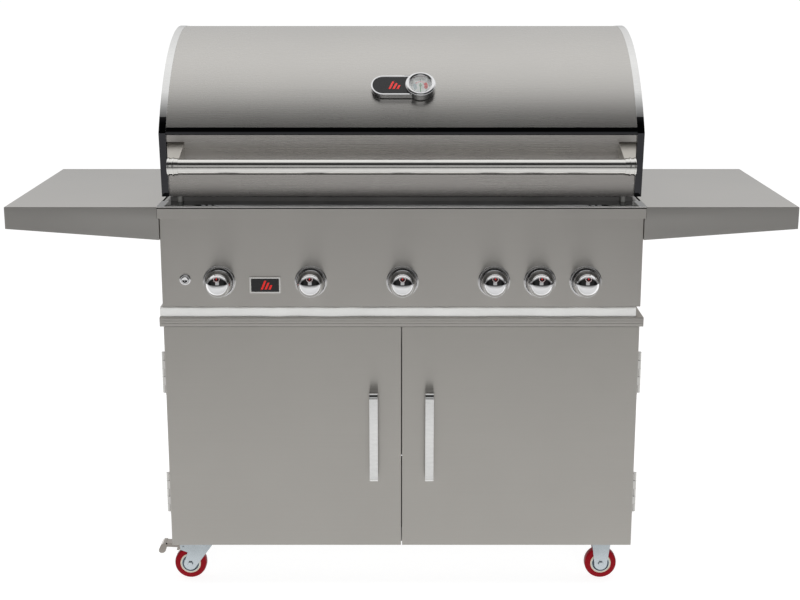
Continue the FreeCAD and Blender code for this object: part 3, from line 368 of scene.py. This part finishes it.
# ---------------------------------------------------------------- sheet metal
def sheet_metal():
    """CAD sheets with rounded edges and their grain."""
    body = "grill_body"
    refined("control_panel", body, [PANEL_STEEL], 0.9 * MM)
    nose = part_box("front_sill")[1].z - 3 * MM

    # The sill's top faces get the near-black mirror, a painted dark reflection, and the top 3 mm of its front
    # the near-white edge material, a painted highlight line.
    def sill_part(face):
        if face.normal.z > 0.7:
            return 2
        return 1 if face.normal.y < -0.9 and face.calc_center_median().z > nose else 0

    refined("front_sill", body, [PANEL_STEEL, PAINTED_HIGHLIGHT_EDGE, PAINTED_DARK_REFLECTION], 1.6 * MM, 4, choose=sill_part)
    refined("cart_top_frame", body, [PANEL_STEEL], 0.6 * MM)
    refined("side_shelves", body, [SHELF_STEEL], 1.0 * MM)
    refined("cart_side_panels", body, [SIDE_STEEL], 0.4 * MM)
    refined("cart_rear_panel", body, [SIDE_STEEL], 0.4 * MM)
    refined("cart_floor", body, [INNER_STEEL], 0.5 * MM)
    refined("cart_face_frame", body, [INNER_STEEL], 0.5 * MM)
    refined("firebox", body, [INNER_STEEL], 0.5 * MM)
    refined("drip_tray", "drip_tray", [INNER_STEEL], 0.5 * MM)
    refined("left_door", "left_door", [DOOR_STEEL], 1.0 * MM)
    refined("right_door", "right_door", [DOOR_STEEL], 1.0 * MM)
    refined("hood_liner", "hood", [INNER_STEEL], 0.4 * MM)
    # The trims' faces low on the hood's front get the near-black mirror: a painted dark reflection.
    painted_dark_top = CREASE + 34 * MM
    painted_dark_back = HOOD_LOW.y + 60 * MM

    def trim(face):
        if abs(face.normal.x) > 0.99 and face.calc_area() > 0.02:
            return 1
        at = face.calc_center_median()
        return 2 if at.z < painted_dark_top and at.y < painted_dark_back and abs(face.normal.x) < 0.9 else 0

    refined("hood_end_caps", "hood", [MIRROR_STEEL, HOOD_STEEL, PAINTED_DARK_REFLECTION], 1.5 * MM, 3, choose=trim)
    for side in ("left", "right"):
        refined(side + "_door_handle", side + "_door", [MIRROR_STEEL], 2.0 * MM, 3)
        refined(side + "_door_hinge_leaves", side + "_door", [HINGE_STEEL], 0.4 * MM)
    refined("door_hinge_frame_leaves", body, [HINGE_STEEL], 0.4 * MM)


def hood_front():
    """Outer sheet with a polished strip above the crease coloured near black as a painted dark reflection,
    the lower front in a darker copy of the steel as painted shade, the satin handle brackets and the handle
    bar.
    """
    strip = CREASE + 12 * MM

    # Faces of the strip get the near-black mirror, a painted dark reflection; the rest of the lower front
    # gets the darker steel, painted shade.
    def front_part(face):
        at = face.calc_center_median()
        if at.y > HOOD_LOW.y + 30 * MM or at.z > strip:
            return 0
        return 1 if at.z > CREASE - 5 * MM and face.normal.z > -0.5 else 2

    steels = [HOOD_STEEL, PAINTED_DARK_REFLECTION, HOOD_FRONT_PAINTED_SHADE]
    refined("hood_skin", "hood", steels, 0.6 * MM, level=strip, choose=front_part)
    bar_low, bar_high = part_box("hood_handle_bar")
    centre = (bar_low + bar_high) / 2
    radius = (bar_high.z - bar_low.z) / 2

    def on_ferrule(face):
        at = face.calc_center_median() - centre
        return 1 if math.hypot(at.y, at.z) < radius + 3 * MM else 0

    refined("hood_handle_brackets", "hood", [SATIN_STEEL, SATIN_CHROME], 1.0 * MM, 3, choose=on_ferrule)
    length = bar_high.x - bar_low.x
    outline = [(0, 0), (radius - MM, 0), (radius, MM)]
    outline += [(r, length - t) for r, t in outline[::-1]]
    end = Vector((bar_low.x, centre.y, centre.z))
    bar = lathe("handle_bar", outline, end, (1, 0, 0), "hood", SATIN_CHROME, 96)
    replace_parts(bar, "hood_handle_bar")
    bm = bmesh.new()
    section = [(1.0, -1.6), (2.9, -1.6), (3.3, -0.9), (3.3, 0.9), (2.9, 1.6), (1.0, 1.6)]
    ring = closed([(r * MM + radius, t * MM) for r, t in section])
    for side in (-1, 1):
        for out in (494, 504):
            lathe_into(bm, ring, Vector((side * out * MM, centre.y, centre.z)), (1, 0, 0), 64)
    from_bmesh("ferrule_rings", bm, "hood", [SATIN_CHROME])


# ---------------------------------------------------------------- control panel
def inlay_into(bm, centre, radius, middle_direction, outline, index, thick):
    """Thin solid patch on a ball. outline is in degrees to the right of and above the middle direction."""
    forward = Vector(middle_direction).normalized()
    right = Vector((1, 0, 0))
    up = right.cross(forward) * -1
    rings = []
    for r in (radius + thick, radius - thick):
        ring = []
        for a, b in outline:
            toward = forward + right * math.tan(math.radians(a)) + up * math.tan(math.radians(b))
            ring.append(bm.verts.new(centre + toward.normalized() * r))
        rings.append(ring)
    top, bottom = rings
    faces = [bm.faces.new(top), bm.faces.new(bottom[::-1])]
    for k in range(len(top)):
        n = (k + 1) % len(top)
        faces.append(bm.faces.new([top[k], bottom[k], bottom[n], top[n]]))
    for face in faces:
        face.material_index = index


def knobs():
    """Chromed ball-nosed knobs, each with a red pointer in a pale surround, a grip line and its stem."""
    for n in range(1, 7):
        node = "knob_%d" % n
        low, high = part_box(node)
        axis = joint_place("valve_%d_turn" % n)
        radius = (high.x - low.x) / 2
        back = FRONT + 1 * MM
        ball = Vector((axis.x, low.y + radius, axis.z))
        straight = back - ball.y
        outline = [(0, 0), (radius - 3.0 * MM, 0), (radius - 0.8 * MM, 0.3 * MM), (radius, 1.2 * MM),
                   (radius, 5 * MM), (radius - 0.7 * MM, 5.5 * MM), (radius - 0.7 * MM, 6.5 * MM),
                   (radius, 7 * MM)]
        outline += [(radius, straight * 0.7)]
        outline += [(r, straight + t) for r, t in arc(radius, 0, 88, 22)] + [(0, straight + radius)]
        bm = bmesh.new()
        lathe_into(bm, outline, Vector((axis.x, back, axis.z)), (0, -1, 0), 96)
        stem = 3.95 * MM
        shaft = [(0, 0), (stem, 0), (stem, 24 * MM), (0, 24 * MM)]
        lathe_into(bm, shaft, Vector((axis.x, back + 25 * MM, axis.z)), (0, -1, 0), 32, 1)
        surround = arc(13, 0, 345, 23)
        toward = (0, -math.cos(math.radians(34)), math.sin(math.radians(34)))
        inlay_into(bm, ball, radius, toward, surround, 2, 0.2 * MM)
        drop = [(0, 6), (-2.4, 2), (-3, -1), (-2, -3.4), (0, -4.2), (2, -3.4), (3, -1), (2.4, 2)]
        inlay_into(bm, ball, radius, toward, drop, 3, 0.4 * MM)
        knob = from_bmesh(node + "_finished", bm, node, [CHROME, ZINC, PALE_ENAMEL, RED_ENAMEL], 40)
        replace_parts(knob, node)


def bezels():
    """Stepped rings round the knobs, and the button's barrel and dished cap."""
    bm = bmesh.new()
    face = FRONT + 5 * MM
    section = [(31.2, 0), (36, 0), (36, 3.2), (35.4, 4.0), (34.9, 4.2), (34.9, 6.6), (34.4, 8.4), (33.6, 9.3),
               (32.6, 9.4), (31.7, 8.6), (31.2, 7.0)]
    outline = closed([(r * MM, t * MM) for r, t in section])
    for n in range(1, 7):
        axis = joint_place("valve_%d_turn" % n)
        lathe_into(bm, outline, Vector((axis.x, face, axis.z)), (0, -1, 0), 96)
    low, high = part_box("ignition_button")
    centre = Vector(((low.x + high.x) / 2, face, (low.z + high.z) / 2))
    section = [(8.65, -25), (8.65, 2.6), (9.1, 3.2), (9.9, 3.3), (11.4, 2.9), (12.5, 1.8), (12.5, 0), (11, 0),
               (11, -25)]
    lathe_into(bm, closed([(r * MM, t * MM) for r, t in section]), centre, (0, -1, 0), 64)
    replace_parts(from_bmesh("bezel_rings", bm, "grill_body", [CHROME]), "panel_bezels")
    section = [(0, -16), (8.5, -16), (8.5, 4.4), (8.2, 5.6), (7.4, 6.4), (6.4, 6.7), (5.4, 6.3), (4.2, 5.2),
               (2.4, 4.6), (0, 4.4)]
    outline = [(r * MM, t * MM) for r, t in section]
    cap = lathe("button_cap", outline, centre, (0, -1, 0), "ignition_button", CHROME)
    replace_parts(cap, "ignition_button")


def emblem_into(bm, place, u, v, size, thick, index):
    """Three slanted bars, longest first: a plain mark that stands for the maker's."""
    for k, length in enumerate((1.0, 0.78, 0.5)):
        left = (k - 1.15) * 0.36
        slant = 0.34 * length
        bar = [(left, -0.42), (left + 0.20, -0.42), (left + 0.20 + slant, -0.42 + 0.84 * length),
               (left + slant, -0.42 + 0.84 * length)]
        prism_into(bm, [(a * size, b * size) for a, b in bar], place, u, v, thick, index)


def badge():
    """Small framed badge on the control panel with a plain red mark."""
    place = Vector((-303.5 * MM, FRONT + 4.9 * MM, PANEL_LOW.z + 49.5 * MM))
    u, v = Vector((1, 0, 0)), Vector((0, 0, 1))
    bm = bmesh.new()
    outer = rectangle(69 * MM, 37 * MM, 1.5 * MM, 3)
    inner = rectangle(62 * MM, 30 * MM, 0.8 * MM, 3)
    prism_into(bm, outer, place, u, v, 1.6 * MM, 0)
    top = place - Vector((0, 1.5 * MM, 0))
    bars = ((-34.5, 34.5, -18.5, -15), (-34.5, 34.5, 15, 18.5), (-34.5, -31, -15.2, 15.2),
            (31, 34.5, -15.2, 15.2))
    for left, right, low, high in bars:
        edge = [(left, low), (right, low), (right, high), (left, high)]
        prism_into(bm, [(a * MM, b * MM) for a, b in edge], top, u, v, 1.0 * MM, 0)
    prism_into(bm, inner, top, u, v, 0.3 * MM, 1)
    emblem_into(bm, place - Vector((0, 1.7 * MM, 0)), u, v, 24 * MM, 0.4 * MM, 2)
    plate = from_bmesh("panel_badge", bm, "grill_body", [SATIN_CHROME, BLACK_GLOSS, RED_GLOW])
    rounded(plate, 0.25 * MM, 2)


# ---------------------------------------------------------------- thermometer
def gauge():
    """Chromed plate with a black inset and mark, domed bezel, printed dial, needle and glass."""
    joint = JOINTS["gauge_needle_turn"]
    w = -Vector(joint["axis"])
    u = Vector((1, 0, 0))
    v = w.cross(u)
    base = Vector(joint["pos_m"]) - w * 11 * MM

    def at(a, b, c):
        return base + u * a * MM + v * b * MM + w * c * MM

    def on_inset(face):
        height = (face.calc_center_median() - base).dot(w)
        return 1 if face.normal.dot(w) > 0.9 and 12.0 * MM < height < 12.6 * MM else 0

    refined("gauge_plate", "hood", [CHROME, BLACK_GLOSS], 1.6 * MM, 4, choose=on_inset)
    section = [(24.4, 12), (24.4, 16.6), (25.0, 17.8), (26.4, 19.0), (28.4, 19.7), (30.2, 19.5), (31.8, 18.6),
               (33.0, 17.0), (33.4, 15.0), (33.4, 12)]
    lathe("gauge_bezel", closed([(r * MM, t * MM) for r, t in section]), base, w, "hood", CHROME, 96)
    bm = bmesh.new()
    emblem_into(bm, at(-61, 0, 12.2), u, v, 25 * MM, 0.5 * MM, 0)
    from_bmesh("plate_mark", bm, "hood", [RED_GLOW])
    face = 9.4
    bm = bmesh.new()
    for k in range(31):
        turn = math.radians(225 - 9 * k)
        major = k % 5 == 0
        r0, r1, half = (17.2 if major else 19.0), 21.4, (0.42 if major else 0.22)
        along, across = (math.cos(turn), math.sin(turn)), (-math.sin(turn), math.cos(turn))
        tick = [(along[0] * r + across[0] * h, along[1] * r + across[1] * h)
                for r, h in ((r0, -half), (r1, -half), (r1, half), (r0, half))]
        prism_into(bm, [(a * MM, b * MM) for a, b in tick], at(0, 0, face), u, v, 0.2 * MM, 0)
    steps = 14
    bands = ((40, -35, 8.5, 16.5, 1), (150, 45, 11.5, 13.0, 3), (225, 155, 8.5, 16.5, 2))
    for start, end, r0, r1, index in bands:
        band = arc(r1, start, end, steps) + arc(r0, end, start, steps)
        prism_into(bm, [(a * MM, b * MM) for a, b in band], at(0, 0, face), u, v, 0.15 * MM, index)
    from_bmesh("dial_print", bm, "hood", [BLACK_GLOSS, RED_ENAMEL, COOL_ENAMEL, PINK_ENAMEL])
    numbers(at, u, v, w, face)
    refined("gauge_needle", "gauge_needle", [GREEN_ENAMEL], 0.15 * MM, 1)


def numbers(at, u, v, w, face):
    """Plain numbers 1 to 7 round the dial."""
    turned = Matrix((u, v, w)).transposed().to_4x4()
    ring = 14.6
    for k in range(7):
        curve = bpy.data.curves.new("dial_number", "FONT")
        curve.body = str(k + 1)
        curve.size = 4.0 * MM
        curve.align_x = "CENTER"
        curve.align_y = "CENTER"
        curve.extrude = 0.1 * MM
        text = bpy.data.objects.new("dial_number", curve)
        bpy.context.scene.collection.objects.link(text)
        mesh = bpy.data.meshes.new_from_object(text.evaluated_get(bpy.context.evaluated_depsgraph_get()))
        bpy.data.objects.remove(text)
        bpy.data.curves.remove(curve)
        turn = math.radians(225 - 45 * k)
        place = at(ring * math.cos(turn), ring * math.sin(turn), face + 0.15)
        mesh.transform(Matrix.Translation(place) @ turned)
        mesh.materials.clear()
        link("dial_number_%d" % (k + 1), mesh, "hood", [BLACK_GLOSS])


# ---------------------------------------------------------------- ledge strip
def fibre_strip():
    """Soft white strip on the cart's ledge, with a slightly wavy front and top."""
    low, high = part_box("ledge_gasket")
    bm = bmesh.new()
    rings = []
    steps = 420
    for k in range(steps + 1):
        x = low.x + (high.x - low.x) * k / steps
        sway = noise.noise(Vector((x * 16, 3.1, 0)))
        bulge = noise.noise(Vector((x * 34, 7.7, 2)))
        front = low.y + (1.2 + 1.4 * sway) * MM
        top = high.z - (0.6 - 0.9 * bulge) * MM
        foot = low.z + (1.4 + 2.2 * noise.noise(Vector((x * 22, 1.3, 5)))) * MM
        profile = [(high.y, low.z), (high.y, top), (front + 3 * MM, top), (front + 1.0 * MM, top - 0.8 * MM),
                   (front, top - 3 * MM), (front - 0.4 * MM, foot + 3 * MM),
                   (front + 0.6 * MM, foot + 0.6 * MM), (front + 3 * MM, low.z + 0.05 * MM)]
        rings.append([bm.verts.new((x, y, z)) for y, z in profile])
    for first, second in zip(rings, rings[1:]):
        for k in range(len(first)):
            n = (k + 1) % len(first)
            bm.faces.new([first[k], first[n], second[n], second[k]])
    bm.faces.new(rings[0])
    bm.faces.new(rings[-1])
    strip = from_bmesh("fibre_strip", bm, "grill_body", [FIBRE], 60)
    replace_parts(strip, "ledge_gasket")


# ---------------------------------------------------------------- casters
def wheels():
    """Red tread on a pale core ring with a zinc hub and bearing shields."""
    for node in ("front_left_wheel", "rear_left_wheel", "front_right_wheel", "rear_right_wheel"):
        low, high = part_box(node)
        centre = (low + high) / 2
        bm = bmesh.new()
        tread = [(24.1, -11.6), (33, -12), (35.6, -10.9), (36.9, -8.6), (37.45, -5.5)]
        tread += [(r, -t) for r, t in tread[::-1]]
        core = [(21.2, -12.3), (24.1, -12.3), (24.1, 12.3), (21.2, 12.3)]
        hub = [(4.06, -13.5), (8.6, -13.5), (9.4, -12.9), (9.6, -11.4), (12.0, -10.0), (15.5, -9.4),
               (18.6, -10.6), (19.8, -12.2), (21.2, -12.4)]
        hub += [(r, -t) for r, t in hub[::-1]]
        for index, section in enumerate((tread, core, hub)):
            lathe_into(bm, closed([(r * MM, t * MM) for r, t in section]), centre, (0, 1, 0), 72, index)
        wheel = from_bmesh(node + "_finished", bm, node, [RED_TREAD, BEIGE_CORE, ZINC])
        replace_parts(wheel, node)


def caster_steel():
    """Zinc-plated forks, plates and bolts and polished brake pedals, all with rounded edges."""
    for place in ("front", "rear"):
        refined(place + "_left_fork", place + "_left_fork", [ZINC], 0.7 * MM, 2)
        refined(place + "_left_brake", place + "_left_brake", [PEDAL_STEEL], 1.2 * MM, 3)
    refined("swivel_caster_plates", "grill_body", [ZINC], 0.5 * MM, 2)
    refined("rigid_caster_forks", "grill_body", [ZINC], 0.7 * MM, 2)
    refined("assembly_bolts", "grill_body", [ZINC], 0.5 * MM, 2)


def screw_into(bm, place, axis, radius, index=0):
    """Pan head with a recess in its middle."""
    height = radius * 0.55
    section = [(0, -0.3), (1, -0.3), (1, 0.35), (0.86, 0.8), (0.5, 1), (0.34, 0.9), (0.28, 0.45), (0, 0.4)]
    lathe_into(bm, [(r * radius, t * height) for r, t in section], place, axis, 20, index)


def screws():
    """Screws of the hinges, the back panel, the firebox's back and the door handles."""
    bm = bmesh.new()
    small, large = 3.0 * MM, 3.4 * MM
    hinge_out, hinge_depth = HALF + 1 * MM, FRONT + 50 * MM
    panel_back = BACK - 3 * MM
    for side in (-1, 1):
        for z in (480, 552, 192, 263):
            screw_into(bm, Vector((side * hinge_out, hinge_depth, z * MM)), (side, 0, 0), small)
        for z in (130, 290, 450, 610):
            screw_into(bm, Vector((side * 495 * MM, panel_back, z * MM)), (0, 1, 0), large)
    for x in (-330, -165, 0, 165, 330):
        screw_into(bm, Vector((x * MM, panel_back, 612 * MM)), (0, 1, 0), large)
        screw_into(bm, Vector((x * MM, BACK, 880 * MM)), (0, 1, 0), large)
    from_bmesh("body_screws", bm, "grill_body", [ZINC])
    for side, s in (("left", -1), ("right", 1)):
        bm = bmesh.new()
        for z in (271.5, 479.5):
            screw_into(bm, Vector((s * 63 * MM, FRONT + 25 * MM, z * MM)), (0, 1, 0), 4.2 * MM)
        from_bmesh(side + "_handle_screws", bm, side + "_door", [ZINC])


def burner_box():
    """Rear burner's case with ceramic tiles."""
    case_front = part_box("rear_burner")[0].y
    tile_depth = 5 * MM

    def on_tiles(face):
        return 1 if face.normal.y < -0.9 and face.calc_center_median().y > case_front + tile_depth else 0

    refined("rear_burner", "grill_body", [BURNER_STEEL, CERAMIC], 0.4 * MM, 1, choose=on_tiles)


CAD_FINISH = {
    "valve_bodies": CAST_ALLOY,
    "gas_manifold": CAST_ALLOY,
    "hood_bumpers": GREY_RUBBER,
    "burners": BURNER_STEEL,
    "heat_tents": BURNER_STEEL,
    "cooking_grates": GRATE_STEEL,
    "warming_rack": GRATE_STEEL,
    "gauge_dial": WHITE_ENAMEL,
    "gauge_lens": DIAL_GLASS,
}


def finish_cad():
    """Materials for the CAD nodes that stay as they are."""
    for n in range(1, 7):
        CAD_FINISH["valve_plug_%d" % n] = BRASS
    for node, material in CAD_FINISH.items():
        mesh = frame["nodes"][node].data
        mesh.materials.clear()
        mesh.materials.append(material)


# ---------------------------------------------------------------- stage
def stage():
    """Plain pale floor, soft light from above and behind, and a dark room in front.

    Reflections see the floor darken away from the grill.
    """
    scene = bpy.context.scene
    scene.view_settings.view_transform = "Standard"
    world = bpy.data.worlds.new("studio")
    scene.world = world
    world.use_nodes = True
    nodes, links = world.node_tree.nodes, world.node_tree.links
    where = nodes.new("ShaderNodeTexCoord")
    parts = nodes.new("ShaderNodeSeparateXYZ")
    links.new(where.outputs["Generated"], parts.inputs["Vector"])
    flip = nodes.new("ShaderNodeMath")
    flip.operation = "MULTIPLY"
    flip.inputs[1].default_value = -1
    links.new(parts.outputs["Y"], flip.inputs[0])
    angle = nodes.new("ShaderNodeMath")
    angle.operation = "ARCTAN2"
    links.new(parts.outputs["Z"], angle.inputs[0])
    links.new(flip.outputs["Value"], angle.inputs[1])
    turn = nodes.new("ShaderNodeMapRange")
    turn.inputs["From Min"].default_value = -math.pi
    turn.inputs["From Max"].default_value = math.pi
    links.new(angle.outputs["Value"], turn.inputs["Value"])
    ramp = nodes.new("ShaderNodeValToRGB")
    # (degrees from the front horizon up over the top, brightness)
    stops = [(-180, 0.62), (-90, 0.62), (-80, 0.17), (-3, 0.17), (1, 0.02), (61, 0.02), (71, 0.33),
             (84, 0.88), (110, 0.98), (160, 0.74), (180, 0.50)]
    elements = ramp.color_ramp.elements
    while len(elements) < len(stops):
        elements.new(0.5)
    for element, (degrees, value) in zip(elements, stops):
        element.position = (degrees + 180) / 360
        element.color = (value, value, value, 1)
    links.new(turn.outputs["Result"], ramp.inputs["Fac"])
    aside = nodes.new("ShaderNodeMath")
    aside.operation = "ABSOLUTE"
    links.new(parts.outputs["X"], aside.inputs[0])
    dim = spread(nodes, links, aside.outputs["Value"], 1.0, 0.25, 0.74, 0.93)
    room = tinted(nodes, links, (1, 1, 1), dim)
    shaded = nodes.new("ShaderNodeVectorMath")
    shaded.operation = "MULTIPLY"
    links.new(ramp.outputs["Color"], shaded.inputs[0])
    links.new(room, shaded.inputs[1])
    near_middle = spread(nodes, links, aside.outputs["Value"], 1.0, 0.0, 0.22, 0.30)
    above = spread(nodes, links, parts.outputs["Z"], 0.0, 1.0, 0.05, 0.10)
    below = spread(nodes, links, parts.outputs["Z"], 1.0, 0.0, 0.46, 0.56)
    ahead = spread(nodes, links, parts.outputs["Y"], 0.42, 0.0, -0.3, -0.1)
    narrow = product(nodes, links, near_middle, above)
    low_ahead = product(nodes, links, below, ahead)
    panel = product(nodes, links, narrow, low_ahead)
    lit = nodes.new("ShaderNodeVectorMath")
    lit.operation = "ADD"
    links.new(shaded.outputs["Vector"], lit.inputs[0])
    links.new(panel, lit.inputs[1])
    seen = nodes.new("ShaderNodeLightPath")
    mix = nodes.new("ShaderNodeMix")
    mix.data_type = "RGBA"
    links.new(seen.outputs["Is Camera Ray"], mix.inputs["Factor"])
    color_in = [s for s in mix.inputs if s.name == "A" and s.type == "RGBA"][0]
    white_in = [s for s in mix.inputs if s.name == "B" and s.type == "RGBA"][0]
    white_in.default_value = (1, 1, 1, 1)
    links.new(lit.outputs["Vector"], color_in)
    out = [s for s in mix.outputs if s.type == "RGBA"][0]
    links.new(out, nodes["Background"].inputs["Color"])
    nodes["Background"].inputs["Strength"].default_value = 1.0

    side, front_edge, back_edge = 20, FRONT - 7, 60
    bm = bmesh.new()
    corners = [(-side, front_edge), (side, front_edge), (side, back_edge), (-side, back_edge)]
    bm.faces.new([bm.verts.new((x, y, 0)) for x, y in corners])
    mesh = bpy.data.meshes.new("floor")
    bm.to_mesh(mesh)
    bm.free()
    floor = bpy.data.objects.new("floor", mesh)
    scene.collection.objects.link(floor)
    material, nodes, links, shader = new_material("floor_white", (0.30, 0.30, 0.30), 0.9, 0.0)
    where = nodes.new("ShaderNodeTexCoord")
    parts = nodes.new("ShaderNodeSeparateXYZ")
    links.new(where.outputs["Object"], parts.inputs["Vector"])
    far = spread(nodes, links, parts.outputs["Y"], 0.13, 0.50, FRONT - 2.7, FRONT - 1.2)
    near = spread(nodes, links, parts.outputs["Y"], 0.0, 0.37, FRONT - 0.13, FRONT - 0.06)
    glow = summed(nodes, links, far, near)
    seen = nodes.new("ShaderNodeLightPath")
    plain = nodes.new("ShaderNodeMix")
    plain.inputs["B"].default_value = 0.87
    links.new(seen.outputs["Is Camera Ray"], plain.inputs["Factor"])
    links.new(glow, plain.inputs["A"])
    shader.inputs["Emission Color"].default_value = (1, 1, 1, 1)
    shader.inputs["Specular IOR Level"].default_value = 0.0
    links.new(plain.outputs["Result"], shader.inputs["Emission Strength"])
    mesh.materials.append(material)

    lamp("overhead", (0, 0.3, 3.6), (0, 0, 0.6), 4.5, 3.0, 60)
    lamp("front_fill", (0, FRONT - 3.6, 1.3), (0, 0, 0.6), 3.0, 1.6, 62)


def lamp(name, place, target, width, height, power):
    data = bpy.data.lights.new(name, "AREA")
    data.shape = "RECTANGLE"
    data.size = width
    data.size_y = height
    data.energy = power
    obj = bpy.data.objects.new(name, data)
    bpy.context.scene.collection.objects.link(obj)
    obj.location = place
    obj.rotation_mode = "QUATERNION"
    obj.rotation_quaternion = (Vector(target) - Vector(place)).to_track_quat("-Z", "Y")
    obj.visible_glossy = False


def camera():
    data = bpy.data.cameras.new("camera")
    data.lens = 64.6
    data.sensor_width = 36
    obj = bpy.data.objects.new("camera", data)
    bpy.context.scene.collection.objects.link(obj)
    tilt_down = 13.6
    obj.location = (-0.0035, FRONT - 3.107, 1.442)
    obj.rotation_euler = (math.radians(90 - tilt_down), 0, 0)
    bpy.context.scene.camera = obj


sheet_metal()
hood_front()
knobs()
bezels()
badge()
gauge()
fibre_strip()
wheels()
caster_steel()
screws()
burner_box()
finish_cad()
stage()
camera()
